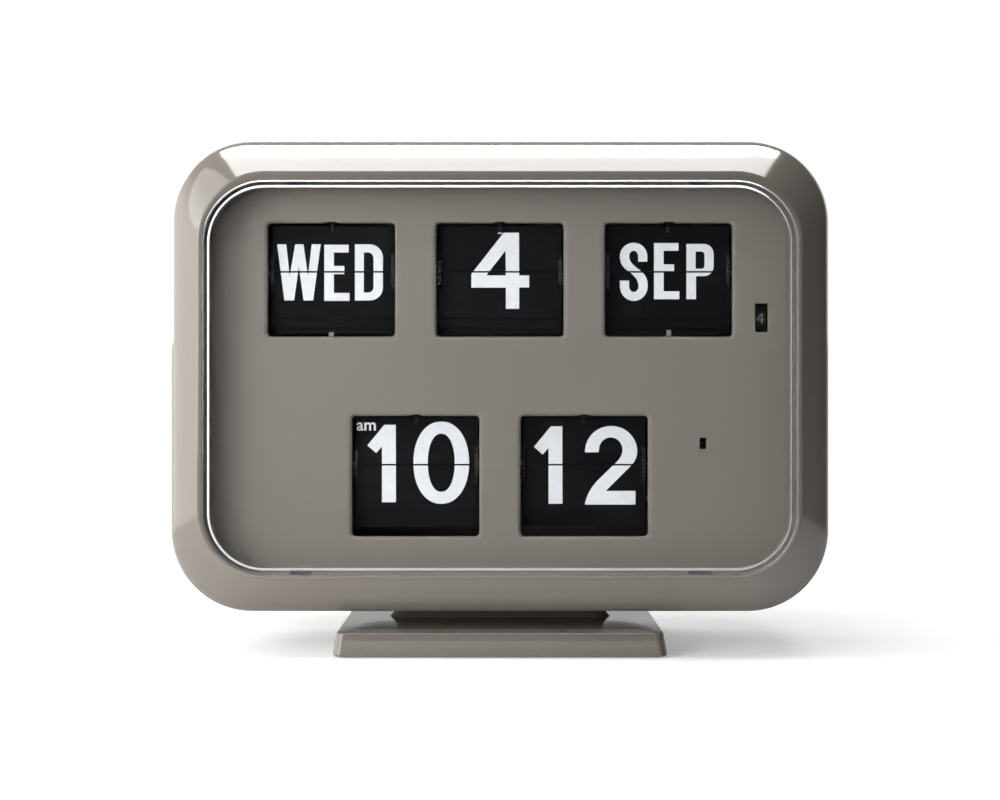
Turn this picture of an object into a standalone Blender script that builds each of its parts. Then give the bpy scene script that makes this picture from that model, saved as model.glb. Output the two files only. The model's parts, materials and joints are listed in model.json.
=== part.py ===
"""Split-flap calendar clock: weekday, date and month over hour and minute, on a pedestal foot.

Sizes are in millimetres and become metres as each mesh is made. X points right, Z up, and a depth
is measured backwards from the front face of the lens. The origin is on the floor under the middle.
"""

import math

import bmesh
import bpy
from mathutils import Vector

MM = 0.001

# Case
DEPTH = 104.0
CASE_HALF_WIDTH = 155.0
CASE_BOTTOM = 20.2
CASE_TOP = 241.8
CASE_RADIUS = 38.0
WIDEST_DEPTH = 16.0
SHOULDER_DEPTH = 10.7
BEZEL_STEPS = 7
CREASE_DEPTH = 3.0
CREASE_INSET = (14.4, 17.0, 15.8)  # sides, bottom, top
PARTING_DEPTH = 50.0
WALL = 3.0
GAP = 0.3
RIB_INSET = 12.0
RIB_WIDTH = 6.0
PANEL_DEPTH = 101.0
PANEL_THICKNESS = 2.6
SCREW_X = 139.4
SCREW_Z = (35.8, 226.2)
SCREW_SEAT_DEPTH = 91.5
SCREW_HEAD_RADIUS = 3.9
POST_RADIUS = 4.2
COVER_POST_RADIUS = 5.4

# Lens and dial plate
LENS_HALF_WIDTH = 137.75
LENS_BOTTOM = 38.8
LENS_TOP = 221.5
LENS_RADIUS = 29.0
LENS_THICKNESS = 2.2
PLATE_DEPTH = 20.5
PLATE_THICKNESS = 2.5
PLATE_MARGIN = 3.2
TAB_X = 94.0
TAB_WIDTH = 10.0
TAB_THICKNESS = 1.6

# Windows, and for each display its name, centre, pivot height, leaf height and leaves on the spool
WINDOW_WIDTH = 60.6
WINDOW_RADIUS = 2.0
UPPER_PIVOT = 181.3
LOWER_PIVOT = 88.9
UPPER_WINDOW = (150.1, 204.1)
LOWER_WINDOW = (55.0, 112.3)
COLUMN = 80.3
DISPLAYS = (
    ("weekday", -COLUMN, UPPER_PIVOT, 22.0, 14),
    ("date", 0.0, UPPER_PIVOT, 22.0, 31),
    ("month", COLUMN, UPPER_PIVOT, 22.0, 12),
    ("hour", -COLUMN / 2, LOWER_PIVOT, 23.0, 24),
    ("minute", COLUMN / 2, LOWER_PIVOT, 23.0, 60),
)
LEAF_HALF_WIDTH = 29.5
LEAF_THICKNESS = 0.5
LEAF_PIVOT_DEPTH = 26.0
LEAF_FACE_DEPTH = 26.25
LEAF_NECK_HALF_WIDTH = 27.7
LEAF_NECK_HEIGHT = 8.6
CLIP_NOTCH_HALF_WIDTH = 1.1
CLIP_NOTCH_HEIGHT = 3.8
CLIP_HALF_WIDTH = 0.7
STACK_THICKNESS = 2.0
STACK_NECK_HEIGHT = 13.0
FALLEN_STEPS = (26.8, 29.6)

# Spools, shafts and wheels
AXLE_DEPTH = 44.0
AXLE_RADIUS = 1.9
BORE_RADIUS = 2.2
DISC_RADIUS = 19.0
DISC_NOTCH = 1.0
DISC_FACES = (28.0, 29.6)
HUB_RADIUS = 8.0
SET_WHEEL_RADIUS = 20.1
SET_WHEEL_DEPTH = AXLE_DEPTH + DISC_RADIUS + GAP + SET_WHEEL_RADIUS
SET_WHEEL_FACES = (26.3, 31.3)
GEAR_MODULE = 0.9
DRIVE_TEETH = 40
PINION_TEETH = 8
GEAR_FACES = (72.0, 75.5)
SECONDS_SLOT = (96.7, 99.2, 3.0, 5.2)
LEAP_SLOT = (124.5, 159.0, 6.0, 13.4)
LEAP_WHEEL_RADIUS = 15.0
LEAP_WHEEL_DEPTH = 40.5

# Chassis
CHASSIS_HALF_WIDTH = 118.0
CHASSIS_BOTTOM = 44.0
CHASSIS_TOP = 209.5
CHASSIS_SHELF = 130.0
CHASSIS_DEPTHS = (23.3, 90.0)
CHASSIS_WALL = 2.5

# Movement, board and battery
MOVEMENT_BOX = (77.5, 113.0, 64.0, 90.0, 62.0, 116.0)
BOARD_BOX = (-110.0, -76.0, 66.0, 67.6, 92.0, 124.0)
BATTERY_RADIUS = 13.1
BATTERY_ENDS = (-103.0, -53.0)
BATTERY_DEPTH = 84.0
BATTERY_HEIGHT = 71.0
TRAY_BOX = (-111.0, -50.0, 68.5, 98.1, 55.5, 86.5)
TRAY_WALL = 1.6
DOOR_MARGIN = 3.0
DOOR_THICKNESS = 1.8

# Pedestal
FOOT_HALF_WIDTH = 78.0
FOOT_HALF_DEPTH = 48.0
FOOT_BOTTOM = 0.5
FOOT_TOP = 11.6
FOOT_DRAFT = 1.4
FOOT_RADIUS = 5.0
NECK_DEPTHS = (53.0, 88.0)
NECK_HALF_WIDTHS = (55.5, 52.6, 52.0)
PAD_RADIUS = 7.0
PAD_HEIGHT = 2.0
PAD_X = 64.0
PAD_Y = 36.0
STAND_SCREW_X = 32.0
STAND_SCREW_DEPTH = 70.0

CORNER_STEPS = 7


def y_of(depth):
    """World Y, in millimetres, of a depth behind the front of the lens."""
    return depth - DEPTH / 2


def remove_everything():
    for item in list(bpy.data.objects):
        bpy.data.objects.remove(item, do_unlink=True)


def finish(name, colour, roughness, metallic=0.0, alpha=1.0):
    """A Principled BSDF material."""
    material = bpy.data.materials.new(name)
    material.use_nodes = True
    shader = material.node_tree.nodes["Principled BSDF"]
    shader.inputs["Base Color"].default_value = (*colour, 1.0)
    shader.inputs["Roughness"].default_value = roughness
    shader.inputs["Metallic"].default_value = metallic
    shader.inputs["Alpha"].default_value = alpha
    material.diffuse_color = (*colour, 1.0)
    return material


def make_object(name, mesh_data, material, origin=(0.0, 0.0, 0.0)):
    """Turn a bmesh in millimetres into an object in metres with its origin at a given point."""
    bmesh.ops.recalc_face_normals(mesh_data, faces=mesh_data.faces)
    for vertex in mesh_data.verts:
        vertex.co = (vertex.co - Vector(origin)) * MM
    mesh = bpy.data.meshes.new(name)
    mesh_data.to_mesh(mesh)
    mesh_data.free()
    mesh.materials.append(material)
    mesh.shade_smooth()
    mesh.set_sharp_from_angle(angle=math.radians(30))
    item = bpy.data.objects.new(name, mesh)
    item.location = Vector(origin) * MM
    bpy.context.scene.collection.objects.link(item)
    return item


def loft(name, sections, material, closed=False, origin=(0.0, 0.0, 0.0)):
    """A solid through equal rings of points: capped at both ends, or closed round into a frame."""
    shape = bmesh.new()
    rings = [[shape.verts.new(point) for point in section] for section in sections]
    pairs = list(zip(rings, rings[1:]))
    if closed:
        pairs.append((rings[-1], rings[0]))
    for first, second in pairs:
        count = len(first)
        for index in range(count):
            after = (index + 1) % count
            shape.faces.new((first[index], first[after], second[after], second[index]))
    if not closed:
        shape.faces.new(rings[0])
        shape.faces.new(rings[-1])
    return make_object(name, shape, material, origin)


def rounded(half_width, half_height, radius, steps=CORNER_STEPS):
    """Points round a rectangle with circular corners, about its centre."""
    points = []
    corners = ((1, 1, 0), (-1, 1, 90), (-1, -1, 180), (1, -1, 270))
    for sign_x, sign_z, start in corners:
        for step in range(steps + 1):
            angle = math.radians(start + 90 * step / steps)
            x = sign_x * (half_width - radius) + radius * math.cos(angle)
            z = sign_z * (half_height - radius) + radius * math.sin(angle)
            points.append((x, z))
    return points


def upright(frame, depth, steps=CORNER_STEPS):
    """A ring in the XZ plane from (half width, bottom, top, radius) at a depth."""
    half_width, bottom, top, radius = frame
    middle = (bottom + top) / 2
    outline = rounded(half_width, (top - bottom) / 2, radius, steps)
    return [(x, y_of(depth), middle + z) for x, z in outline]


def level(half_width, depths, radius, height, steps=4):
    """A ring in the XY plane between two depths at a height."""
    middle = y_of(sum(depths) / 2)
    outline = rounded(half_width, (depths[1] - depths[0]) / 2, radius, steps)
    return [(x, middle + y, height) for x, y in outline]


def inset(frame, sides, bottom=None, top=None, radius=None):
    """A frame moved inwards by a distance on each edge."""
    bottom = sides if bottom is None else bottom
    top = sides if top is None else top
    new_radius = frame[3] - sides if radius is None else radius
    return (frame[0] - sides, frame[1] + bottom, frame[2] - top, new_radius)


def between(first, second, fraction):
    return tuple(a + (b - a) * fraction for a, b in zip(first, second))


def shifted(outline, x, z):
    return [(x + px, z + pz) for px, pz in outline]


def slab_y(name, outline, depths, material, origin=(0.0, 0.0, 0.0)):
    """An XZ outline extruded between two depths."""
    sections = [[(x, y_of(depth), z) for x, z in outline] for depth in depths]
    return loft(name, sections, material, origin=origin)


def slab_x(name, outline, ends, material, origin=(0.0, 0.0, 0.0)):
    """A (depth, Z) outline extruded between two X values."""
    sections = [[(x, y_of(depth), z) for depth, z in outline] for x in ends]
    return loft(name, sections, material, origin=origin)


def block(name, box, material):
    """A box given as X, depth and Z limits."""
    left, right, front, back, bottom, top = box
    outline = [(left, bottom), (right, bottom), (right, top), (left, top)]
    return slab_y(name, outline, (front, back), material)


def circle(radius, steps, phase=0.0):
    turns = [phase + 2 * math.pi * step / steps for step in range(steps)]
    return [(radius * math.cos(turn), radius * math.sin(turn)) for turn in turns]


def turned(name, profile, depth, height, material, steps=24, closed=False):
    """A round piece about an X axis: the profile lists (x, radius or ring of points)."""
    sections = []
    for x, radius in profile:
        ring = radius if isinstance(radius, list) else circle(radius, steps)
        sections.append([(x, y_of(depth + a), height + b) for a, b in ring])
    return loft(name, sections, material, closed, (profile[0][0], y_of(depth), height))


def upright_cylinder(name, x, y, heights, radius, material, steps=16):
    sections = [[(x + a, y + b, z) for a, b in circle(radius, steps)] for z in heights]
    return loft(name, sections, material)


def deep_cylinder(name, x, z, depths, radius, material, steps=12):
    return slab_y(name, shifted(circle(radius, steps), x, z), depths, material)


def combine(target, other, operation):
    """Cut a shape out of a piece, or add it, and keep the other shape as a guide."""
    change = target.modifiers.new(other.name, "BOOLEAN")
    change.operation = operation
    change.object = other
    change.solver = "EXACT"
    other.hide_render = True
    other.display_type = "WIRE"


CASE = (CASE_HALF_WIDTH, CASE_BOTTOM, CASE_TOP, CASE_RADIUS)
CREASE = inset(CASE, CREASE_INSET[0], CREASE_INSET[1], CREASE_INSET[2], 31.5)
LENS = (LENS_HALF_WIDTH, LENS_BOTTOM, LENS_TOP, LENS_RADIUS)
OPENING = inset(LENS, -GAP)
COLLAR = inset(OPENING, -2.4)


def front_housing(shell):
    """The glossy front shell: outer wall, rounded bezel, crease, and the collar round the lens."""
    rear = inset(CASE, 0.4)
    sections = [upright(rear, PARTING_DEPTH)]
    for step in range(BEZEL_STEPS + 1):
        share = step / BEZEL_STEPS
        rest = 1 - share
        depth = rest ** 2 * WIDEST_DEPTH + 2 * share * rest * SHOULDER_DEPTH + share ** 2 * CREASE_DEPTH
        sections.append(upright(between(CASE, CREASE, share ** 2), depth))
    sections.append(upright(OPENING, 4.6))
    sections.append(upright(OPENING, PLATE_DEPTH - GAP))
    sections.append(upright(COLLAR, PLATE_DEPTH - GAP))
    sections.append(upright(COLLAR, 7.0))
    sections.append(upright(between(CASE, CREASE, 0.45), 11.4))
    sections.append(upright(inset(CASE, WALL), 15.0))
    sections.append(upright(inset(rear, WALL), PARTING_DEPTH))
    housing = loft("front_housing", sections, shell, closed=True)
    post_depths = (PLATE_DEPTH + PLATE_THICKNESS + GAP, PARTING_DEPTH)
    hole_depths = (38.0, 60.0)
    for side in (-1, 1):
        for z in SCREW_Z:
            post = deep_cylinder("post", side * SCREW_X, z, post_depths, POST_RADIUS, shell)
            combine(housing, post, "UNION")
            hole = deep_cylinder("post_hole", side * SCREW_X, z, hole_depths, 2.0, shell)
            combine(housing, hole, "DIFFERENCE")
    return housing


def rear_cover(shell):
    """The rear shell: flat sides over the neck, a rounded rim, a standing rib and a flat panel."""
    outer = inset(CASE, 0.4)
    inner = inset(outer, WALL)
    start = PARTING_DEPTH + GAP
    round_start = NECK_DEPTHS[1]
    arc_steps = 4
    sections = []
    for step in range(arc_steps, -1, -1):
        angle = math.radians(90 * step / arc_steps)
        depth = round_start - 2 + (PANEL_DEPTH - PANEL_THICKNESS - round_start + 2) * math.sin(angle)
        sections.append(upright(inset(inner, 10.0 * (1 - math.cos(angle))), depth))
    sections.append(upright(inner, start))
    sections.append(upright(outer, start))
    for step in range(arc_steps + 1):
        angle = math.radians(90 * step / arc_steps)
        depth = round_start + (DEPTH - round_start) * math.sin(angle)
        sections.append(upright(inset(outer, RIB_INSET * (1 - math.cos(angle))), depth))
    sections.append(upright(inset(outer, RIB_INSET + RIB_WIDTH), DEPTH))
    sections.append(upright(inset(outer, RIB_INSET + RIB_WIDTH + 0.6), PANEL_DEPTH))
    cover = loft("rear_cover", sections, shell)

    through = (PANEL_DEPTH - PANEL_THICKNESS - 1, PANEL_DEPTH + 1)
    battery_cut = (TRAY_BOX[0] + 1, TRAY_BOX[1] - 1, *through, TRAY_BOX[4] + 1, TRAY_BOX[5] - 1)
    combine(cover, block("battery_cut", battery_cut, shell), "DIFFERENCE")
    for name, x, z, _, _ in DISPLAYS:
        if name != "hour":
            slot = rounded(3.3, 14.5, 3.0, 3)
            middle = x + sum(SET_WHEEL_FACES) / 2
            cutter = slab_y("wheel_slot", shifted(slot, middle, z), through, shell)
            combine(cover, cutter, "DIFFERENCE")
    post_depths = (start, SCREW_SEAT_DEPTH + 2)
    hole_depths = (start - 1, DEPTH + 4)
    seat_depths = (SCREW_SEAT_DEPTH, DEPTH + 4)
    for side in (-1, 1):
        x = side * SCREW_X
        for z in SCREW_Z:
            post = deep_cylinder("cover_post", x, z, post_depths, COVER_POST_RADIUS, shell)
            combine(cover, post, "UNION")
            hole = deep_cylinder("screw_hole", x, z, hole_depths, 2.0, shell)
            combine(cover, hole, "DIFFERENCE")
            seat = deep_cylinder("screw_seat", x, z, seat_depths, SCREW_HEAD_RADIUS + 0.5, shell)
            combine(cover, seat, "DIFFERENCE")
        hole = upright_cylinder("stand_hole", side * STAND_SCREW_X, y_of(STAND_SCREW_DEPTH),
                                (15.0, 30.0), 2.0, shell, 12)
        combine(cover, hole, "DIFFERENCE")
        keyhole(cover, side * 60.0, 214.0, through, shell)
    return cover


def keyhole(cover, x, z, through, shell):
    """A wall-hanging keyhole: a round entry with a narrow slot above it."""
    entry_radius = 4.5
    slot_radius = 2.3
    slot_top = 7.5
    join = math.asin(slot_radius / entry_radius)
    points = []
    for step in range(13):
        angle = math.pi / 2 + join + (2 * math.pi - 2 * join) * step / 12
        points.append((x + entry_radius * math.cos(angle), z + entry_radius * math.sin(angle)))
    for step in range(7):
        angle = math.pi * step / 6
        points.append((x + slot_radius * math.cos(angle), z + slot_top + slot_radius * math.sin(angle)))
    combine(cover, slab_y("keyhole", points, through, shell), "DIFFERENCE")


def front_lens(clear):
    """A deep clear tray, open at the back, with snap tabs that pass through the dial plate."""
    inner = inset(LENS, LENS_THICKNESS)
    rim = PLATE_DEPTH - GAP
    edge = 1.0
    sections = [
        upright(inner, LENS_THICKNESS),
        upright(inner, rim),
        upright(LENS, rim),
        upright(LENS, edge),
        upright(inset(LENS, 0.3), 0.3),
        upright(inset(LENS, edge), 0.0),
    ]
    lens = loft("front_lens", sections, clear)
    for side in (-1, 1):
        for z in (LENS_BOTTOM + LENS_THICKNESS / 2, LENS_TOP - LENS_THICKNESS / 2):
            box = tab_box(side, z, 0.0)
            combine(lens, block("tab", (*box[:2], rim - 3, rim + 7, *box[2:]), clear), "UNION")
    return lens


def tab_box(side, z, margin):
    half_width = TAB_WIDTH / 2 + margin
    half_height = TAB_THICKNESS / 2 + margin
    x = side * TAB_X
    return (x - half_width, x + half_width, z - half_height, z + half_height)


def dial_plate(satin):
    """The flat plate behind the lens, with five windows, two small slots and the tab slots."""
    frame = inset(LENS, -PLATE_MARGIN)
    depths = (PLATE_DEPTH, PLATE_DEPTH + PLATE_THICKNESS)
    plate = loft("dial_plate", [upright(frame, depth) for depth in depths], satin)
    through = (depths[0] - 1, depths[1] + 1)
    for name, x, z, _, _ in DISPLAYS:
        bottom, top = UPPER_WINDOW if z == UPPER_PIVOT else LOWER_WINDOW
        outline = rounded(WINDOW_WIDTH / 2, (top - bottom) / 2, WINDOW_RADIUS, 3)
        cutter = slab_y(name + "_window", shifted(outline, x, (bottom + top) / 2), through, satin)
        combine(plate, cutter, "DIFFERENCE")
    for x, z, width, height in (SECONDS_SLOT, LEAP_SLOT):
        box = (x - width / 2, x + width / 2, *through, z - height / 2, z + height / 2)
        combine(plate, block("slot", box, satin), "DIFFERENCE")
    for side in (-1, 1):
        for z in (LENS_BOTTOM + LENS_THICKNESS / 2, LENS_TOP - LENS_THICKNESS / 2):
            box = tab_box(side, z, 0.4)
            combine(plate, block("tab_slot", (*box[:2], *through, *box[2:]), satin), "DIFFERENCE")
    return plate


def leaf_outline(x, height, start, direction):
    """A half leaf from just off its pivot: narrow neck at the pivot, clip notch at the tip."""
    neck = LEAF_NECK_HALF_WIDTH
    wide = LEAF_HALF_WIDTH
    notch = CLIP_NOTCH_HALF_WIDTH
    half = [
        (neck, start),
        (neck, LEAF_NECK_HEIGHT),
        (wide, LEAF_NECK_HEIGHT),
        (wide, height),
        (notch, height),
        (notch, height - CLIP_NOTCH_HEIGHT),
    ]
    mirrored = [(-px, pz) for px, pz in reversed(half)]
    return [(x + px, direction * pz) for px, pz in half + mirrored]


def half_leaf(name, x, pivot, height, direction, card):
    outline = shifted(leaf_outline(x, height, GAP, direction), 0.0, pivot)
    depths = (LEAF_FACE_DEPTH, LEAF_FACE_DEPTH + LEAF_THICKNESS)
    origin = (x, y_of(LEAF_PIVOT_DEPTH), pivot)
    return slab_y(name, outline, depths, card, origin)


def leaf_stack(name, x, pivot, height, card):
    """The waiting leaves above and the fallen leaves below, packed behind the two that show."""
    front = LEAF_FACE_DEPTH + LEAF_THICKNESS + GAP
    second = front + 0.9
    back = front + STACK_THICKNESS
    outline = [
        (front, -FALLEN_STEPS[0]),
        (second, -FALLEN_STEPS[0]),
        (second, -FALLEN_STEPS[1]),
        (back, -FALLEN_STEPS[1]),
        (back, height - 0.6),
        (second, height - 0.6),
        (second, height - 0.3),
        (front, height - 0.3),
    ]
    profile = [(depth, pivot + z) for depth, z in outline]
    stack = slab_x(name, profile, (x - LEAF_HALF_WIDTH, x + LEAF_HALF_WIDTH), card)
    for side in (-1, 1):
        ends = sorted((x + side * LEAF_NECK_HALF_WIDTH, x + side * (LEAF_HALF_WIDTH + 2)))
        heights = (pivot - STACK_NECK_HEIGHT, pivot + STACK_NECK_HEIGHT)
        combine(stack, block("neck_cut", (*ends, front - 1, back + 1, *heights), card), "DIFFERENCE")
    return stack


def retainer(name, x, pivot, height, top, steel):
    """The spring clip that holds back the tip of the waiting leaf."""
    tip = pivot + height - CLIP_NOTCH_HEIGHT + 0.7
    outline = [
        (25.5, tip),
        (26.4, tip),
        (26.4, top - 1.2),
        (32.0, top - 1.2),
        (32.0, top),
        (25.5, top),
    ]
    return slab_x(name, outline, (x - CLIP_HALF_WIDTH, x + CLIP_HALF_WIDTH), steel)


def notched_ring(radius, depth, count):
    """A disc rim with one small notch for each leaf pin."""
    profile = ((0.0, radius), (0.5, radius - depth))
    if count < 20:
        profile = ((0.0, radius), (0.6, radius), (0.7, radius - depth), (0.9, radius - depth))
    points = []
    for index in range(count):
        for part, value in profile:
            angle = 2 * math.pi * (index + part) / count
            points.append((value * math.cos(angle), value * math.sin(angle)))
    return points


def spool(name, x, pivot, count, plastic):
    """Two end discs on a hub, bored for the row's axle."""
    rim = notched_ring(DISC_RADIUS, DISC_NOTCH, count)
    hub = circle(HUB_RADIUS, len(rim))
    bore = circle(BORE_RADIUS, len(rim))
    inner, outer = DISC_FACES
    profile = [
        (x - outer, bore),
        (x - outer, rim),
        (x - inner, rim),
        (x - inner, hub),
        (x + inner, hub),
        (x + inner, rim),
        (x + outer, rim),
        (x + outer, bore),
    ]
    item = turned(name, profile, AXLE_DEPTH, pivot, plastic, closed=True)
    return item


def gear_ring(teeth, phase, root_share, tip_share):
    """Straight-sided teeth, clear of each other by a generous backlash."""
    pitch = GEAR_MODULE * teeth / 2
    root = pitch - 1.05 * GEAR_MODULE
    tip = pitch + 0.8 * GEAR_MODULE
    points = []
    for index in range(teeth):
        middle = phase + 2 * math.pi * index / teeth
        step = 2 * math.pi / teeth
        for share, radius in ((-root_share, root), (-tip_share, tip), (tip_share, tip), (root_share, root)):
            angle = middle + step * share / 2
            points.append((radius * math.cos(angle), radius * math.sin(angle)))
    return points


def drive_train(plastic, steel):
    """The gear on the minute spool and the motor's pinion behind it."""
    ring = gear_ring(DRIVE_TEETH, 0.0, 0.46, 0.2)
    bore = circle(BORE_RADIUS, len(ring))
    left, right = GEAR_FACES
    profile = [(left, bore), (left, ring), (right, ring), (right, bore)]
    turned("minute_drive_gear", profile, AXLE_DEPTH, LOWER_PIVOT, plastic, closed=True)
    distance = GEAR_MODULE * (DRIVE_TEETH + PINION_TEETH) / 2
    half_tooth = math.pi / PINION_TEETH
    teeth = gear_ring(PINION_TEETH, math.pi + half_tooth, 0.5, 0.16)
    shaft = [(1.5 * a / math.hypot(a, b), 1.5 * b / math.hypot(a, b)) for a, b in teeth]
    profile = [(left, teeth), (right, teeth), (right, shaft), (MOVEMENT_BOX[0] - GAP, shaft)]
    turned("motor_pinion", profile, AXLE_DEPTH + distance, LOWER_PIVOT, steel)


def chassis(sheet):
    """A ladder frame that holds the two rows and the set wheels' shaft."""
    half = CHASSIS_HALF_WIDTH
    box = (-half, half, *CHASSIS_DEPTHS, CHASSIS_BOTTOM, CHASSIS_TOP)
    frame = block("chassis", box, sheet)
    inner = half - CHASSIS_WALL
    bays = (
        (CHASSIS_BOTTOM + CHASSIS_WALL, CHASSIS_SHELF),
        (CHASSIS_SHELF + CHASSIS_WALL, CHASSIS_TOP - CHASSIS_WALL),
    )
    for bottom, top in bays:
        bay = (-inner, inner, CHASSIS_DEPTHS[0] - 1, CHASSIS_DEPTHS[1] + 1, bottom, top)
        combine(frame, block("bay", bay, sheet), "DIFFERENCE")
    return frame


def shafts(steel):
    end = CHASSIS_HALF_WIDTH - CHASSIS_WALL - GAP
    rows = (
        ("axle_upper", AXLE_DEPTH, UPPER_PIVOT),
        ("axle_lower", AXLE_DEPTH, LOWER_PIVOT),
        ("set_wheel_shaft", SET_WHEEL_DEPTH, UPPER_PIVOT),
    )
    for name, depth, height in rows:
        turned(name, [(-end, AXLE_RADIUS), (end, AXLE_RADIUS)], depth, height, steel, 16)


def set_wheels(plastic):
    """Thumb wheels that show through the rear panel, each against its spool's right-hand disc."""
    ridges = 24
    rim = notched_ring(SET_WHEEL_RADIUS, 0.7, ridges)
    bore = circle(BORE_RADIUS, len(rim))
    for name, x, pivot, _, _ in DISPLAYS[:3]:
        left = x + SET_WHEEL_FACES[0]
        right = x + SET_WHEEL_FACES[1]
        profile = [(left, bore), (left, rim), (right, rim), (right, bore)]
        turned(name + "_set_wheel", profile, SET_WHEEL_DEPTH, pivot, plastic, closed=True)
    shaft = circle(AXLE_RADIUS, len(rim))
    x = DISPLAYS[4][1]
    left = x + SET_WHEEL_FACES[0]
    right = x + SET_WHEEL_FACES[1]
    profile = [(left, rim), (right, rim), (right, shaft), (MOVEMENT_BOX[0] - GAP, shaft)]
    turned("time_set_wheel", profile, SET_WHEEL_DEPTH, LOWER_PIVOT, plastic)


def indicator_wheels(plastic):
    """The seconds wheel on the lower axle, and the leap-year wheel on its own stub."""
    x = SECONDS_SLOT[0]
    profile = [
        (x - 1.7, BORE_RADIUS),
        (x - 1.7, DISC_RADIUS),
        (x + 1.7, DISC_RADIUS),
        (x + 1.7, BORE_RADIUS),
    ]
    turned("seconds_wheel", profile, AXLE_DEPTH, LOWER_PIVOT, plastic, 40, True)
    x = LEAP_SLOT[0]
    profile = [
        (CHASSIS_HALF_WIDTH + GAP, 2.0),
        (x - 2.8, 2.0),
        (x - 2.8, LEAP_WHEEL_RADIUS),
        (x + 2.8, LEAP_WHEEL_RADIUS),
    ]
    turned("leap_year_wheel", profile, LEAP_WHEEL_DEPTH, LEAP_SLOT[1], plastic, 32)


def power(plastic, label, steel, board_green):
    """Movement, circuit board, battery in its tray, contacts and the hinged door."""
    movement = block("movement_housing", MOVEMENT_BOX, plastic)
    soften = movement.modifiers.new("edges", "BEVEL")
    soften.width = 1.0 * MM
    soften.segments = 2
    block("circuit_board", BOARD_BOX, board_green)
    left, right = BATTERY_ENDS
    profile = [
        (left, BATTERY_RADIUS - 1),
        (left + 1, BATTERY_RADIUS),
        (right - 3, BATTERY_RADIUS),
        (right - 2, BATTERY_RADIUS - 1),
        (right - 2, 3.0),
        (right, 3.0),
    ]
    turned("battery", profile, BATTERY_DEPTH, BATTERY_HEIGHT, label, 24)
    tray = block("battery_tray", TRAY_BOX, plastic)
    wall = TRAY_WALL
    hollow = (
        TRAY_BOX[0] + wall,
        TRAY_BOX[1] - wall,
        TRAY_BOX[2] + wall,
        TRAY_BOX[3] + 1,
        TRAY_BOX[4] + wall,
        TRAY_BOX[5] - wall,
    )
    combine(tray, block("tray_hollow", hollow, plastic), "DIFFERENCE")
    spring_coil(hollow[0] + GAP, left - GAP, steel)
    contact = (hollow[1] - 0.9, hollow[1] - GAP, 76.0, 92.0, 63.0, 79.0)
    block("battery_contact", contact, steel)


def spring_coil(start, end, steel):
    """A short conical compression spring against the flat end of the battery."""
    turns = 2.5
    wire = 0.4
    steps = 30
    curve = bpy.data.curves.new("battery_spring", "CURVE")
    curve.dimensions = "3D"
    curve.bevel_depth = wire * MM
    curve.bevel_resolution = 1
    curve.use_fill_caps = True
    spline = curve.splines.new("POLY")
    spline.points.add(steps)
    for index in range(steps + 1):
        share = index / steps
        angle = 2 * math.pi * turns * share
        radius = 8.0 - 3.5 * share
        x = start + wire + (end - start - 2 * wire) * share
        y = y_of(BATTERY_DEPTH) + radius * math.cos(angle)
        z = BATTERY_HEIGHT + radius * math.sin(angle)
        spline.points[index].co = (x * MM, y * MM, z * MM, 1.0)
    curve.materials.append(steel)
    item = bpy.data.objects.new("battery_spring", curve)
    bpy.context.scene.collection.objects.link(item)


def battery_door(shell):
    """A flap over the battery opening, hinged along its lower edge."""
    left = TRAY_BOX[0] - DOOR_MARGIN
    right = TRAY_BOX[1] + DOOR_MARGIN
    bottom = TRAY_BOX[4] - DOOR_MARGIN
    top = TRAY_BOX[5] + DOOR_MARGIN
    depths = (PANEL_DEPTH + GAP, PANEL_DEPTH + GAP + DOOR_THICKNESS)
    outline = shifted(rounded((right - left) / 2, (top - bottom) / 2, 2.0, 3),
                      (left + right) / 2, (bottom + top) / 2)
    hinge = ((left + right) / 2, y_of(103.0), bottom + 0.9)
    return slab_y("battery_door", outline, depths, shell, hinge)


def stand_pedestal(shell):
    """The foot slab with drafted sides and the flared neck, with screw and pad recesses."""
    wide = (DEPTH / 2 - FOOT_HALF_DEPTH, DEPTH / 2 + FOOT_HALF_DEPTH)
    narrow = (wide[0] + FOOT_DRAFT, wide[1] - FOOT_DRAFT)
    top_half = FOOT_HALF_WIDTH - FOOT_DRAFT
    base, waist, head = NECK_HALF_WIDTHS
    front, back = NECK_DEPTHS
    sections = [
        level(FOOT_HALF_WIDTH - 0.6, (wide[0] + 0.6, wide[1] - 0.6), FOOT_RADIUS, FOOT_BOTTOM),
        level(FOOT_HALF_WIDTH, wide, FOOT_RADIUS, FOOT_BOTTOM + 0.6),
        level(top_half, narrow, FOOT_RADIUS, FOOT_TOP - 1.0),
        level(top_half - 0.3, (narrow[0] + 0.3, narrow[1] - 0.3), FOOT_RADIUS, FOOT_TOP - 0.3),
        level(top_half - 1.0, (narrow[0] + 1.0, narrow[1] - 1.0), FOOT_RADIUS, FOOT_TOP),
        level(base, (front - 1.5, back + 1.5), 8.0, FOOT_TOP),
        level(waist, (front, back), 8.0, FOOT_TOP + 3.0),
        level(head, (front, back), 8.0, CASE_BOTTOM + 0.1),
    ]
    stand = loft("stand_pedestal", sections, shell)
    for side in (-1, 1):
        for pad_y in (-PAD_Y, PAD_Y):
            recess = upright_cylinder("pad_recess", side * PAD_X, pad_y,
                                      (-2.0, PAD_HEIGHT + GAP), PAD_RADIUS + GAP, shell, 20)
            combine(stand, recess, "DIFFERENCE")
        x = side * STAND_SCREW_X
        y = y_of(STAND_SCREW_DEPTH)
        hole = upright_cylinder("screw_way", x, y, (-2.0, 24.0), 2.0, shell, 12)
        combine(stand, hole, "DIFFERENCE")
        sink = upright_cylinder("screw_sink", x, y, (-3.0, 6.0), 4.6, shell)
        combine(stand, sink, "DIFFERENCE")
    return stand


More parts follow.
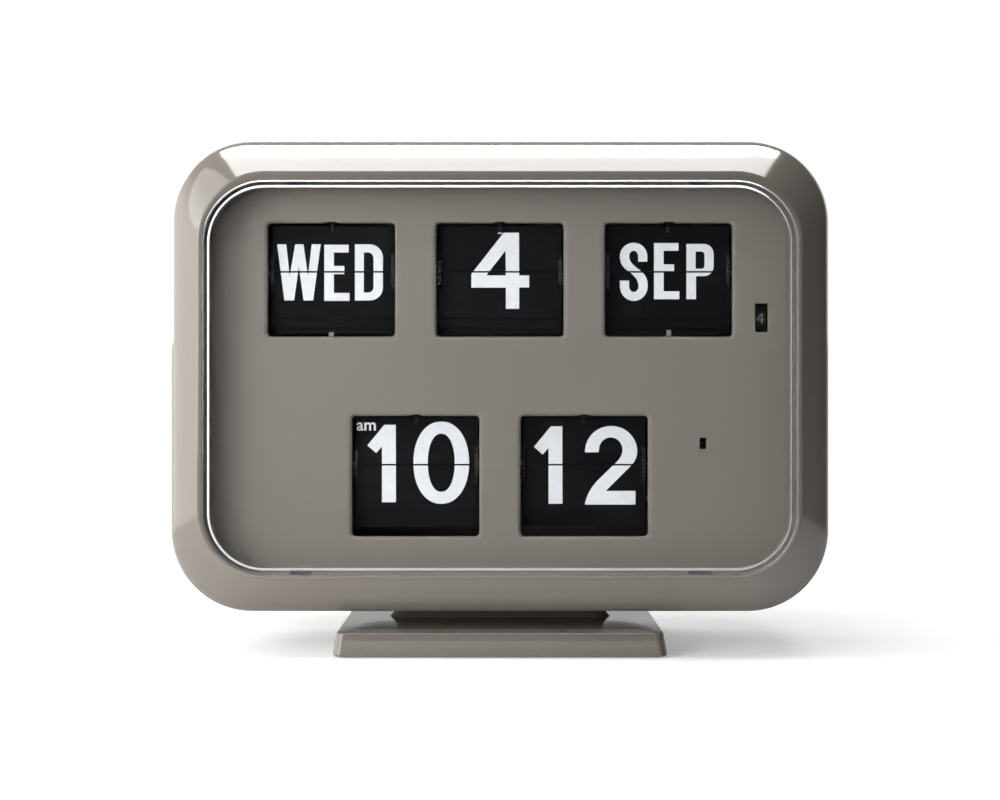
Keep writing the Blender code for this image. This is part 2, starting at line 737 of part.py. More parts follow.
def fasteners(steel, rubber):
    """Foot pads, the two stand screws and the four rear cover screws."""
    number = 0
    for side in (-1, 1):
        for pad_y in (-PAD_Y, PAD_Y):
            number += 1
            upright_cylinder("foot_pad_" + str(number), side * PAD_X, pad_y,
                             (0.0, PAD_HEIGHT), PAD_RADIUS, rubber, 20)
    for number, side in enumerate((-1, 1), 1):
        x = side * STAND_SCREW_X
        y = y_of(STAND_SCREW_DEPTH)
        profile = ((3.4, 4.0), (5.7, 4.0), (5.7, 1.6), (26.0, 1.6))
        sections = [[(x + a, y + b, z) for a, b in circle(radius, 12)] for z, radius in profile]
        loft("stand_screw_" + str(number), sections, steel)
    number = 0
    for side in (-1, 1):
        for z in SCREW_Z:
            number += 1
            seat = SCREW_SEAT_DEPTH + GAP
            profile = (
                (42.0, 1.6),
                (seat, 1.6),
                (seat, SCREW_HEAD_RADIUS),
                (seat + 2.2, SCREW_HEAD_RADIUS),
            )
            sections = []
            for depth, radius in profile:
                ring = shifted(circle(radius, 12), side * SCREW_X, z)
                sections.append([(px, y_of(depth), pz) for px, pz in ring])
            loft("rear_cover_screw_" + str(number), sections, steel)


def displays(card, plastic, steel):
    for name, x, pivot, height, count in DISPLAYS:
        spool(name + "_spool", x, pivot, count, plastic)
        half_leaf(name + "_upper_leaf", x, pivot, height, 1, card)
        half_leaf(name + "_lower_leaf", x, pivot, height, -1, card)
        leaf_stack(name + "_leaf_stack", x, pivot, height, card)
        ceiling = CHASSIS_TOP - CHASSIS_WALL if pivot == UPPER_PIVOT else CHASSIS_SHELF
        retainer(name + "_retainer", x, pivot, height, ceiling - GAP, steel)


def build():
    remove_everything()
    shell = finish("taupe_gloss_plastic", (0.29, 0.255, 0.22), 0.18)
    satin = finish("grey_satin_plastic", (0.31, 0.29, 0.25), 0.45)
    clear = finish("clear_plastic", (0.92, 0.94, 0.94), 0.05, alpha=0.25)
    card = finish("black_leaf_card", (0.012, 0.012, 0.013), 0.5)
    plastic = finish("black_plastic", (0.03, 0.03, 0.032), 0.45)
    steel = finish("spring_steel", (0.55, 0.55, 0.56), 0.3, 1.0)
    sheet = finish("zinc_plated_sheet", (0.5, 0.5, 0.48), 0.4, 1.0)
    rubber = finish("grey_rubber", (0.05, 0.05, 0.05), 0.8)
    label = finish("battery_sleeve", (0.05, 0.12, 0.3), 0.35)
    board_green = finish("board_laminate", (0.02, 0.16, 0.07), 0.4)

    front_housing(shell)
    rear_cover(shell)
    front_lens(clear)
    dial_plate(satin)
    chassis(sheet)
    shafts(steel)
    displays(card, plastic, steel)
    set_wheels(plastic)
    indicator_wheels(plastic)
    drive_train(plastic, steel)
    power(plastic, label, steel, board_green)
    battery_door(shell)
    stand_pedestal(shell)
    fasteners(steel, rubber)


build()
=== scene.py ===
import json
import math

import bmesh
import bpy
from mathutils import Matrix, Vector


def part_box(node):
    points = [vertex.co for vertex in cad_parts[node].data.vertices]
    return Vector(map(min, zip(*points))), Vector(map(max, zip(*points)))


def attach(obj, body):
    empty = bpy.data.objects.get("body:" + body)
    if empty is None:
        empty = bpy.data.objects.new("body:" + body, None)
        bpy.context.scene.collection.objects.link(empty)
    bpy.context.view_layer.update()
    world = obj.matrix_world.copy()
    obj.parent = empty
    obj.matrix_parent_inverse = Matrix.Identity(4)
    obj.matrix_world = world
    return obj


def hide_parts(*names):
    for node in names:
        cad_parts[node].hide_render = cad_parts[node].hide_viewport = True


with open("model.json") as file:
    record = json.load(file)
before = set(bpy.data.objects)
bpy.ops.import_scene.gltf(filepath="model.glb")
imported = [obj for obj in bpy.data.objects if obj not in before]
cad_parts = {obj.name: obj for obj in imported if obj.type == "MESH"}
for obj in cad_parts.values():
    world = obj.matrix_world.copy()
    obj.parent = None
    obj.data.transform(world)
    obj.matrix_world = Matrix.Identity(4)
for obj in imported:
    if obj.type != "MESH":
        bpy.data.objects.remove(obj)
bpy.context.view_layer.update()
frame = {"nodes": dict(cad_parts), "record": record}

MM = 0.001

# Read from the frame. An outline is (half width, bottom, top, corner radius), and FRONT is the lens face.
CASE_LOW, CASE_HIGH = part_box("front_housing")
COVER_LOW, COVER_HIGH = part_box("rear_cover")
LENS_LOW, LENS_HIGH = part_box("front_lens")
PLATE_LOW, PLATE_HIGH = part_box("dial_plate")
FOOT_LOW, FOOT_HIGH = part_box("stand_pedestal")
FRONT = LENS_LOW.y
CASE = (CASE_HIGH.x, CASE_LOW.z, CASE_HIGH.z, 38 * MM)
COVER = (COVER_HIGH.x, COVER_LOW.z, COVER_HIGH.z, 37.6 * MM)
LENS = (LENS_HIGH.x, LENS_LOW.z, LENS_HIGH.z, 29 * MM)
PARTING = CASE_HIGH.y
DISPLAYS = ("weekday", "date", "month", "hour", "minute")
OPENINGS = {item["name"]: item["box_m"] for item in frame["record"]["physics"]["openings"]}
JOINTS = {item["name"]: item for item in frame["record"]["behaviour"]["joints"]}

# Measures that several pieces share
RIM = PLATE_LOW.y - 0.3 * MM  # where the bezel's wall and the lens tray end, just short of the plate
TAB_REACH = 94 * MM  # from the middle out to a lens tab
TAB_INSET = 1.1 * MM  # from the lens outline in to a lens tab
CREASE_ANGLE = 35  # degrees, the shading stays sharp over an edge that turns more than this
FLAT_AREA = 60 * MM * MM  # a face of the front or back that is larger than this stays flat


# ---- mesh helpers

def rounded(half_width, half_height, radius, steps=16):
    """Points round a rectangle with circular corners, about its centre."""
    points = []
    for sign_x, sign_z, start in ((1, 1, 0), (-1, 1, 90), (-1, -1, 180), (1, -1, 270)):
        for step in range(steps + 1):
            angle = math.radians(start + 90 * step / steps)
            x = sign_x * (half_width - radius) + radius * math.cos(angle)
            z = sign_z * (half_height - radius) + radius * math.sin(angle)
            points.append((x, z))
    return points


def upright(outline, y, steps=20):
    """A ring in the XZ plane from (half width, bottom, top, radius)."""
    half_width, bottom, top, radius = outline
    middle = (bottom + top) / 2
    return [(x, y, middle + z) for x, z in rounded(half_width, (top - bottom) / 2, radius, steps)]


def level(half_width, front, back, radius, height, steps=10):
    """A ring in the XY plane."""
    middle = (front + back) / 2
    return [(x, middle + y, height) for x, y in rounded(half_width, (back - front) / 2, radius, steps)]


def inset(outline, sides, bottom=None, top=None, radius=None):
    """An outline drawn in, by the same amount all round where only one is given."""
    bottom = sides if bottom is None else bottom
    top = sides if top is None else top
    radius = outline[3] - sides if radius is None else radius
    return (outline[0] - sides, outline[1] + bottom, outline[2] - top, radius)


def between(first, second, share):
    """The outline at a share of the way from one to another."""
    return tuple(a + (b - a) * share for a, b in zip(first, second))


def mesh_from(name, data):
    """A mesh from a bmesh, which is freed."""
    mesh = bpy.data.meshes.new(name)
    data.to_mesh(mesh)
    data.free()
    return mesh


def linked(name, data):
    """A new object in the scene."""
    item = bpy.data.objects.new(name, data)
    bpy.context.scene.collection.objects.link(item)
    return item


def add_object(name, data, body, material, sharp=CREASE_ANGLE):
    """Finish a bmesh as a piece, on a CAD body where one is given."""
    bmesh.ops.recalc_face_normals(data, faces=data.faces)
    mesh = mesh_from(name, data)
    smooth(mesh, sharp)
    piece = linked(name, mesh)
    mesh.materials.append(material)
    if body:
        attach(piece, body)
    return piece


def smooth(mesh, sharp):
    """Smooth shading, with creases kept and large flat faces left flat."""
    mesh.shade_smooth()
    mesh.set_sharp_from_angle(angle=math.radians(sharp))
    for face in mesh.polygons:
        upright_face = abs(face.normal.y) > 0.9995 and face.area > FLAT_AREA
        if len(face.vertices) > 12 or upright_face:
            face.use_smooth = False


def lofted(sections, closed=False):
    """A bmesh through equal rings of points: capped at both ends, or closed round."""
    data = bmesh.new()
    rings = [[data.verts.new(point) for point in section] for section in sections]
    pairs = list(zip(rings, rings[1:]))
    if closed:
        pairs.append((rings[-1], rings[0]))
    for first, second in pairs:
        count = len(first)
        for index in range(count):
            after = (index + 1) % count
            data.faces.new((first[index], first[after], second[after], second[index]))
    if not closed:
        data.faces.new(rings[0])
        data.faces.new(rings[-1])
    return data


def slab(outline, front, back):
    """A bmesh of an XZ outline extruded from front to back."""
    return lofted([[(x, y, z) for x, z in outline] for y in (front, back)])


def moved(outline, x, z):
    """A list of (x, z) points, shifted."""
    return [(x + px, z + pz) for px, pz in outline]


def box_data(low, high):
    """A bmesh of a box between two corners."""
    outline = [(low[0], low[2]), (high[0], low[2]), (high[0], high[2]), (low[0], high[2])]
    return slab(outline, low[1], high[1])


def boolean(piece, cutters, operation="DIFFERENCE"):
    """Apply a Boolean with each cutter mesh, then delete the cutters."""
    for data in cutters:
        bmesh.ops.recalc_face_normals(data, faces=data.faces)
        change = piece.modifiers.new("cut", "BOOLEAN")
        change.operation = operation
        change.object = linked("cutter", mesh_from("cutter", data))
        change.solver = "EXACT"
    bpy.context.view_layer.update()
    graph = bpy.context.evaluated_depsgraph_get()
    result = bpy.data.meshes.new_from_object(piece.evaluated_get(graph))
    used = [change.object for change in piece.modifiers if change.type == "BOOLEAN"]
    piece.modifiers.clear()
    piece.data = result
    for cutter in used:
        bpy.data.objects.remove(cutter, do_unlink=True)
    smooth(result, CREASE_ANGLE)


# ---- materials

class Finish:
    """A Principled material under construction, in object coordinates."""

    def __init__(self, name):
        self.material = bpy.data.materials.new(name)
        self.material.use_nodes = True
        self.tree = self.material.node_tree
        self.shader = self.tree.nodes["Principled BSDF"]
        self.output = self.tree.nodes["Material Output"]
        self.place = self.tree.nodes.new("ShaderNodeTexCoord").outputs["Object"]

    def node(self, kind, **settings):
        made = self.tree.nodes.new(kind)
        for key, value in settings.items():
            setattr(made, key, value)
        return made

    def link(self, source, target):
        self.tree.links.new(source, target)

    def put(self, name, value):
        self.shader.inputs[name].default_value = value

    def noise(self, scale, detail=2.0, roughness=0.5, stretch=(1, 1, 1)):
        """A noise value, with the pattern squeezed along each axis by stretch."""
        scaled = self.node("ShaderNodeMapping")
        scaled.inputs["Scale"].default_value = stretch
        self.link(self.place, scaled.inputs["Vector"])
        made = self.node("ShaderNodeTexNoise")
        made.inputs["Scale"].default_value = scale
        made.inputs["Detail"].default_value = detail
        made.inputs["Roughness"].default_value = roughness
        self.link(scaled.outputs["Vector"], made.inputs["Vector"])
        return made.outputs["Fac"]

    def remap(self, value, low, high, to_low, to_high):
        made = self.node("ShaderNodeMapRange")
        for name, number in zip(("From Min", "From Max", "To Min", "To Max"), (low, high, to_low, to_high)):
            made.inputs[name].default_value = number
        self.link(value, made.inputs["Value"])
        return made.outputs["Result"]

    def mix(self, share, first, second):
        """Blend two colours, each a tuple or a socket."""
        made = self.node("ShaderNodeMix", data_type="RGBA")
        for socket, value in ((made.inputs["A"], first), (made.inputs["B"], second)):
            socket = [s for s in made.inputs if s.name == socket.name and s.type == "RGBA"][0]
            if isinstance(value, tuple):
                socket.default_value = (*value, 1.0)
            else:
                self.link(value, socket)
        factor = [s for s in made.inputs if s.name == "Factor" and s.type == "VALUE"][0]
        self.link(share, factor)
        return [s for s in made.outputs if s.type == "RGBA"][0]

    def bump(self, value, strength, distance):
        made = self.node("ShaderNodeBump")
        made.inputs["Strength"].default_value = strength
        made.inputs["Distance"].default_value = distance
        self.link(value, made.inputs["Height"])
        return made.outputs["Normal"]

    def colour(self, value):
        self.link(value, self.shader.inputs["Base Color"])

    def roughness(self, value):
        self.link(value, self.shader.inputs["Roughness"])

    def normal(self, value):
        self.link(value, self.shader.inputs["Normal"])


def tint(colour, factor):
    """A colour, darker or lighter by a factor."""
    return tuple(min(1.0, part * factor) for part in colour)


def moulded(name, colour, rough, grain=900.0, texture=0.05, metallic=0.0, spread=0.05, specular=0.5):
    """Moulded plastic or plain metal: faint cloudy colour, uneven gloss, a fine skin texture."""
    made = Finish(name)
    cloud = made.noise(14.0, 4.0, 0.6)
    fine = made.noise(grain, 2.0, 0.6)
    clouds = made.remap(cloud, 0.3, 0.7, 0.0, 1.0)
    specks = made.remap(fine, 0.35, 0.65, 0.0, 0.35)
    base = made.mix(clouds, tint(colour, 1 - spread), tint(colour, 1 + spread))
    made.colour(made.mix(specks, base, tint(colour, 1 - 2 * spread)))
    smudge = made.noise(38.0, 5.0, 0.65)
    made.roughness(made.remap(smudge, 0.3, 0.75, rough * 0.85, rough * 1.25))
    made.normal(made.bump(fine, texture, 0.0002))
    made.put("Metallic", metallic)
    made.put("Specular IOR Level", specular)
    return made.material


def brushed(name, colour, rough, stretch):
    """Metal with fine lines drawn along one axis."""
    made = Finish(name)
    lines = made.noise(260.0, 3.0, 0.7, stretch)
    stain = made.noise(20.0, 4.0, 0.6)
    streaks = made.mix(made.remap(lines, 0.3, 0.7, 0.0, 1.0), tint(colour, 0.82), tint(colour, 1.12))
    made.colour(made.mix(made.remap(stain, 0.45, 0.8, 0.0, 0.5), streaks, tint(colour, 0.7)))
    made.roughness(made.remap(lines, 0.3, 0.7, rough * 0.8, rough * 1.3))
    made.normal(made.bump(lines, 0.12, 0.0001))
    made.put("Metallic", 1.0)
    return made.material


def leaf_black():
    """Satin black leaf with the odd speck of dust."""
    made = Finish("leaf_black")
    cloud = made.noise(30.0, 4.0, 0.6)
    base = made.mix(made.remap(cloud, 0.3, 0.7, 0.0, 1.0), (0.0035, 0.0035, 0.0042), (0.0055, 0.0055, 0.0065))
    specks = made.node("ShaderNodeTexVoronoi", feature="F1")
    specks.inputs["Scale"].default_value = 190.0
    made.link(made.place, specks.inputs["Vector"])
    dust = made.remap(specks.outputs["Distance"], 0.035, 0.06, 0.12, 0.0)
    made.colour(made.mix(dust, base, (0.35, 0.35, 0.36)))
    fine = made.noise(1400.0, 2.0, 0.5)
    made.roughness(made.remap(cloud, 0.3, 0.7, 0.42, 0.52))
    made.normal(made.bump(fine, 0.08, 0.0001))
    made.put("Specular IOR Level", 0.14)
    return made.material


def print_white():
    """Screen-printed white: nearly even, with slight mottling and a soft sheen."""
    made = Finish("print_white")
    mottle = made.noise(420.0, 3.0, 0.6)
    made.colour(made.mix(made.remap(mottle, 0.35, 0.7, 0.0, 1.0), (0.80, 0.82, 0.86), (0.88, 0.90, 0.93)))
    made.roughness(made.remap(mottle, 0.3, 0.7, 0.6, 0.72))
    made.put("Specular IOR Level", 0.2)
    made.normal(made.bump(mottle, 0.02, 0.0001))
    return made.material


def clear_lens(name, bend):
    """Clear acrylic with refractive index bend, which lets lamps through to the dial."""
    made = Finish(name)
    made.put("Base Color", (0.985, 0.99, 0.99, 1.0))
    made.put("Transmission Weight", 1.0)
    made.put("IOR", bend)
    haze = made.noise(60.0, 3.0, 0.6)
    made.roughness(made.remap(haze, 0.4, 0.8, 0.0, 0.015))
    path = made.node("ShaderNodeLightPath")
    clear = made.node("ShaderNodeBsdfTransparent")
    clear.inputs["Color"].default_value = (0.96, 0.97, 0.97, 1.0)
    blend = made.node("ShaderNodeMixShader")
    made.link(path.outputs["Is Shadow Ray"], blend.inputs["Fac"])
    made.link(made.shader.outputs["BSDF"], blend.inputs[1])
    made.link(clear.outputs["BSDF"], blend.inputs[2])
    made.link(blend.outputs["Shader"], made.output.inputs["Surface"])
    return made.material


def lens_painted_highlight():
    """The lens's rounded edges, with a pale colour that paints the light they gather and their glow."""
    made = Finish("lens_painted_highlight")
    cloud = made.noise(40.0, 3.0, 0.6)
    # Pale colour standing in for light on clear acrylic: a painted highlight
    made.colour(made.mix(cloud, (0.74, 0.75, 0.79), (0.86, 0.86, 0.90)))
    made.roughness(made.remap(cloud, 0.3, 0.7, 0.08, 0.16))
    made.put("Transmission Weight", 0.3)
    made.put("Specular IOR Level", 0.9)
    made.normal(made.bump(made.noise(120.0), 0.03, 0.0002))
    return made.material


def dial_satin():
    """The dial's satin plastic, slightly greener than the case, with a fine sprayed texture."""
    colour = (0.225, 0.203, 0.178)
    made = Finish("dial_satin")
    grit = made.noise(1500.0, 3.0, 0.7)
    cloud = made.noise(9.0, 3.0, 0.5)
    base = made.mix(made.remap(cloud, 0.3, 0.7, 0.0, 1.0), tint(colour, 0.97), tint(colour, 1.03))
    made.colour(made.mix(made.remap(grit, 0.3, 0.7, 0.0, 0.6), base, tint(colour, 0.86)))
    made.roughness(made.remap(grit, 0.3, 0.7, 0.42, 0.56))
    made.normal(made.bump(grit, 0.08, 0.0001))
    made.put("Specular IOR Level", 0.4)
    return made.material


MATERIALS = {
    "case": moulded("case_gloss", (0.190, 0.168, 0.146), 0.09, 700.0, 0.004, spread=0.02, specular=0.7),
    "dial": dial_satin(),
    "lens": clear_lens("clear_lens", 1.49),
    "lens_wall": clear_lens("clear_lens_wall", 1.04),
    # The pale painted highlight for the lens's edges and tabs
    "lens_painted_highlight": lens_painted_highlight(),
    "leaf": leaf_black(),
    "print": print_white(),
    "black": moulded("black_moulding", (0.022, 0.022, 0.024), 0.42, 800.0, 0.12, spread=0.15),
    "mark": moulded("pale_print", (0.30, 0.30, 0.31), 0.5, 900.0, 0.02, spread=0.1),
    "tray": moulded("grey_moulding", (0.09, 0.085, 0.08), 0.45, 800.0, 0.12, spread=0.1),
    "steel": brushed("drawn_steel", (0.56, 0.56, 0.57), 0.28, (0.06, 1, 1)),
    "clip": moulded("blued_clip", (0.012, 0.012, 0.014), 0.4, metallic=0.2, spread=0.1),
    "sheet": brushed("plated_sheet", (0.52, 0.51, 0.48), 0.36, (1, 0.1, 0.6)),
    "rubber": moulded("pad_rubber", (0.035, 0.034, 0.033), 0.8, 1200.0, 0.3, spread=0.2),
    "sleeve": moulded("battery_sleeve", (0.03, 0.10, 0.24), 0.3, 600.0, 0.03),
    "board": moulded("board_laminate", (0.015, 0.12, 0.05), 0.35, 1600.0, 0.1, spread=0.15),
    "wheel": moulded("wheel_acetal", (0.62, 0.61, 0.58), 0.4, 900.0, 0.06),
}


# ---- case

def bezel():
    """The glossy front shell: long convex bezel, rolled crease, flat ring, and the wall round the lens."""
    crease = inset(CASE, 14.4 * MM, 17.0 * MM, 15.8 * MM, 31.5 * MM)
    opening = inset(LENS, -0.3 * MM)
    widest = FRONT + 16 * MM
    tip = FRONT + 3.0 * MM
    sections = [upright(inset(CASE, 0.8 * MM), PARTING), upright(inset(CASE, 0.4 * MM), PARTING - 0.4 * MM)]

    # The convex side, a cubic curve from the widest place in to the crease
    steps = 24
    insets = (1.0, 0.583, 0.042, 0.0)
    depths = (tip, tip + 3.9 * MM, tip + 9.0 * MM, widest)
    for step in range(steps + 1):
        share = step / steps
        rest = 1 - share
        weights = (share ** 3, 3 * share ** 2 * rest, 3 * share * rest ** 2, rest ** 3)
        run = sum(weight * value for weight, value in zip(weights, insets))
        depth = sum(weight * value for weight, value in zip(weights, depths))
        sections.append(upright(between(CASE, crease, run), depth))

    # The crease rolls over on to the flat ring, which ends in the wall round the lens
    slope = math.radians(33)
    roll_steps = 6
    roll_share = 0.42
    roll_rise = 0.4 * MM
    for step in range(1, roll_steps + 1):
        angle = slope * (1 - step / roll_steps)
        rise = (math.cos(angle) - math.cos(slope)) / (1 - math.cos(slope))
        run = roll_share * (1 - math.sin(angle) / math.sin(slope))
        sections.append(upright(between(crease, opening, run), tip - roll_rise * rise))
    for run, drop in ((0.86, -0.4), (0.97, -0.15), (1.0, 0.5)):
        sections.append(upright(between(crease, opening, run), tip + drop * MM))
    sections.append(upright(opening, RIM))

    # The inside, back to the parting line
    collar = inset(opening, -2.4 * MM)
    sections.append(upright(collar, RIM))
    sections.append(upright(collar, FRONT + 7.0 * MM))
    sections.append(upright(between(CASE, crease, 0.45), FRONT + 11.4 * MM))
    sections.append(upright(inset(CASE, 3.0 * MM), FRONT + 15 * MM))
    sections.append(upright(inset(CASE, 3.4 * MM), PARTING))
    piece = add_object("front_bezel", lofted(sections, True), "case", MATERIALS["case"], 50)
    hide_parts("front_housing")


def tab_places():
    """Centres of the four tabs on the lens tray's rim."""
    return [(side * TAB_REACH, z) for side in (-1, 1) for z in (LENS[1] + TAB_INSET, LENS[2] - TAB_INSET)]


def lens_tray():
    """The deep clear tray: a flat face with small rounded edges inside and out, walls, and four tabs."""
    inner = inset(LENS, 2.2 * MM)
    edge = 1.3 * MM
    sections = [
        upright(inset(inner, 1.2 * MM), FRONT + 2.2 * MM),
        upright(inset(inner, 0.74 * MM), FRONT + 2.3 * MM),
        upright(inset(inner, 0.35 * MM), FRONT + 2.55 * MM),
        upright(inset(inner, 0.1 * MM), FRONT + 2.94 * MM),
        upright(inner, FRONT + 3.4 * MM),
        upright(inner, RIM),
        upright(LENS, RIM),
    ]
    steps = 6
    for step in range(steps + 1):
        angle = math.radians(90 * step / steps)
        outline = inset(LENS, edge * (1 - math.cos(angle)))
        sections.append(upright(outline, FRONT + edge * (1 - math.sin(angle))))
    piece = add_object("lens_tray", lofted(sections), "case", MATERIALS["lens"], 30)
    half_width = 5 * MM
    half_height = 0.8 * MM
    tabs = []
    for x, z in tab_places():
        low = (x - half_width, RIM - MM, z - half_height)
        high = (x + half_width, RIM + 7 * MM, z + half_height)
        tabs.append(box_data(low, high))
    boolean(piece, tabs, "UNION")

    # The flat face stays clear, the walls bend light less, and the tabs and the edges that face the lamps
    # take the pale colour of a painted highlight
    clear, painted_highlight, wall = range(3)
    piece.data.materials.append(MATERIALS["lens_painted_highlight"])
    piece.data.materials.append(MATERIALS["lens_wall"])
    for face in piece.data.polygons:
        middle = face.center
        facing = abs(face.normal.y)
        outward = face.normal.x * middle.x + face.normal.z * (middle.z - (LENS[1] + LENS[2]) / 2) > 0
        if middle.y > RIM + 0.1 * MM:
            face.material_index = painted_highlight
        elif facing < 0.1:
            face.material_index = wall
        elif facing < 0.99 and middle.y < FRONT + 4 * MM:
            # Which edges take the painted highlight depends on the way they face, as the light falls
            lit_outside = face.normal.z > 0.25 or face.normal.x > 0.3
            lit_inside = face.normal.x > -0.3
            face.material_index = painted_highlight if (lit_outside if outward else lit_inside) else clear
    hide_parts("front_lens")


def window_outline(name, grow):
    """A window's outline, from the opening that the record states just inside it, widened by grow."""
    low, high = OPENINGS[name + "_window"]
    margin = 0.3 * MM + grow
    half_width = (high[0] - low[0]) / 2 + margin
    half_height = (high[2] - low[2]) / 2 + margin
    outline = rounded(half_width, half_height, 2.0 * MM + grow, 8)
    return moved(outline, (low[0] + high[0]) / 2, (low[2] + high[2]) / 2)


def window_cutter(name, low, high):
    """A window with a broad rounded edge, as a solid to cut from the plate."""
    radius = 1.9
    profile = [(radius + 0.35, -1.0), (radius + 0.35, 0.0), (radius * 0.86, 0.06)]
    steps = 7
    for step in range(1, steps + 1):
        angle = math.radians(10 + 80 * step / steps)
        profile.append((radius * (1 - math.sin(angle)), radius * (1 - math.cos(angle)) + 0.05))
    sections = []
    for grow, drop in profile:
        sections.append([(x, low + drop * MM, z) for x, z in window_outline(name, grow * MM)])
    sections.append([(x, high + MM, z) for x, z in window_outline(name, 0.0)])
    return lofted(sections)


def slot_cutter(centre_x, centre_z, width, height, low, high):
    """A small slot with a bevelled edge, as a solid to cut from the plate."""
    bevel = 0.5 * MM
    sections = []
    for grow, y in ((bevel, low - MM), (bevel, low), (0.0, low + 0.7 * MM), (0.0, high + MM)):
        ring = rounded(width / 2 + grow, height / 2 + grow, 0.4 * MM + grow, 3)
        sections.append([(centre_x + x, y, centre_z + z) for x, z in ring])
    return lofted(sections)


def seconds_place():
    """Centre of the seconds slot, on the wheel's front and below its top."""
    low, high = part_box("seconds_wheel")
    return (low.x + high.x) / 2, 99.2 * MM


def leap_place():
    """Centre of the leap-year slot, near the wheel's right-hand end."""
    low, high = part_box("leap_year_wheel")
    return high.x - 2.8 * MM, (low.z + high.z) / 2


def dial_plate():
    """The dial plate: windows, each notched for its clip, slots for the wheels and tabs, and stop tabs."""
    outline = inset(LENS, -3.2 * MM)
    low = PLATE_LOW.y
    high = PLATE_HIGH.y
    piece = add_object("dial_face", lofted([upright(outline, low), upright(outline, high)]), None,
                       MATERIALS["dial"])
    through = (low - MM, high + MM)
    notch = rounded(2.65 * MM, 0.9 * MM, 0.2 * MM, 2)
    tab_slot = rounded(5.3 * MM, 0.95 * MM, 0.2 * MM, 2)
    cutters = [window_cutter(name, low, high) for name in DISPLAYS]
    for name in DISPLAYS:
        first, last = OPENINGS[name + "_window"]
        cutters.append(slab(moved(notch, (first[0] + last[0]) / 2, last[2] + 0.1 * MM), *through))
    cutters.append(slot_cutter(*seconds_place(), 3.0 * MM, 5.2 * MM, low, high))
    cutters.append(slot_cutter(*leap_place(), 6.0 * MM, 13.4 * MM, low, high))
    for x, z in tab_places():
        cutters.append(slab(moved(tab_slot, x, z), *through))
    boolean(piece, cutters)
    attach(piece, "case")
    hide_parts("dial_plate")
    for name, rise in (("weekday", 2.0), ("month", 3.0)):
        first, last = OPENINGS[name + "_window"]
        middle = (first[0] + last[0]) / 2
        stop = rounded(1.15 * MM, rise / 2 * MM + 0.2 * MM, 0.25 * MM, 3)
        tab = slab(moved(stop, middle, first[2] + (rise / 2 - 0.4) * MM), high - 1.5 * MM, high - 0.1 * MM)
        add_object(name + "_stop_tab", tab, "case", MATERIALS["dial"])


def rear_shell():
    """The rear cover: straight sides, a broad rounded rim, the standing rib and the flat panel."""
    inner = inset(COVER, 3.0 * MM)
    start = COVER_LOW.y
    end = COVER_HIGH.y
    panel = end - 3.0 * MM
    round_start = end - 16 * MM
    steps = 10
    turns = [math.radians(90 * step / steps) for step in range(steps + 1)]
    inner_start = round_start - 2 * MM
    inner_depth = panel - 2.6 * MM - round_start + 2 * MM
    sections = []
    for angle in reversed(turns):
        outline = inset(inner, 10 * MM * (1 - math.cos(angle)))
        sections.append(upright(outline, inner_start + inner_depth * math.sin(angle)))
    sections.append(upright(inner, start))
    sections.append(upright(inset(COVER, 0.4 * MM), start))
    sections.append(upright(COVER, start + 0.4 * MM))
    for angle in turns:
        outline = inset(COVER, 12 * MM * (1 - math.cos(angle)))
        sections.append(upright(outline, round_start + (end - round_start) * math.sin(angle)))
    for run, drop in ((17.4, 0.0), (17.85, 0.2), (18.1, 0.6), (18.4, 2.5), (18.7, 2.85), (19.1, 3.0)):
        sections.append(upright(inset(COVER, run * MM), end - drop * MM))
    piece = add_object("rear_shell", lofted(sections), None, MATERIALS["case"])
    boolean(piece, [post_data(x, z) for x, z in screw_places()], "UNION")
    boolean(piece, rear_cutters(panel, end))
    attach(piece, "case")
    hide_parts("rear_cover")


def screw_places():
    """Centres of the four rear cover screws."""
    places = []
    for number in range(1, 5):
        low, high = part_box("rear_cover_screw_" + str(number))
        places.append(((low.x + high.x) / 2, (low.z + high.z) / 2))
    return places


def circle(radius, steps=28):
    """Points round a circle about (0, 0)."""
    turns = [2 * math.pi * step / steps for step in range(steps)]
    return [(radius * math.cos(turn), radius * math.sin(turn)) for turn in turns]


def post_data(x, z):
    """The post inside the rear cover that a screw's head rests on."""
    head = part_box("rear_cover_screw_1")[1].y
    return slab(moved(circle(5.4 * MM), x, z), COVER_LOW.y, head - 0.6 * MM)


def rear_cutters(panel, end):
    """Screw wells, wheel slots, the battery opening, keyholes, and the stand's screw holes below."""
    cutters = []
    shank = circle(2.0 * MM, 16)
    well = circle(4.4 * MM)
    well_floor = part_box("rear_cover_screw_1")[1].y - 2.5 * MM
    for x, z in screw_places():
        cutters.append(slab(moved(shank, x, z), COVER_LOW.y - MM, end + MM))
        cutters.append(slab(moved(well, x, z), well_floor, end + 4 * MM))
    through = (panel - 4 * MM, panel + MM)
    for name in ("weekday_set_wheel", "date_set_wheel", "month_set_wheel", "time_set_wheel"):
        low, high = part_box(name)
        middle = (low.x + high.x) / 2
        if name == "time_set_wheel":
            middle = low.x + 2.5 * MM
        slot = moved(rounded(3.3 * MM, 14.5 * MM, 3.0 * MM, 6), middle, (low.z + high.z) / 2)
        cutters.append(slab(slot, *through))
    low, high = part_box("battery_tray")
    bay = rounded((high.x - low.x) / 2 - MM, (high.z - low.z) / 2 - MM, 0.8 * MM, 3)
    cutters.append(slab(moved(bay, (low.x + high.x) / 2, (low.z + high.z) / 2), *through))
    for side, screw in ((-1, "stand_screw_1"), (1, "stand_screw_2")):
        cutters.append(slab(keyhole(side * 60 * MM, 214 * MM), *through))
        low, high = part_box(screw)
        x = (low.x + high.x) / 2
        y = (low.y + high.y) / 2
        cutters.append(lofted([[(x + a, y + b, z) for a, b in shank] for z in (15 * MM, 30 * MM)]))
    return cutters


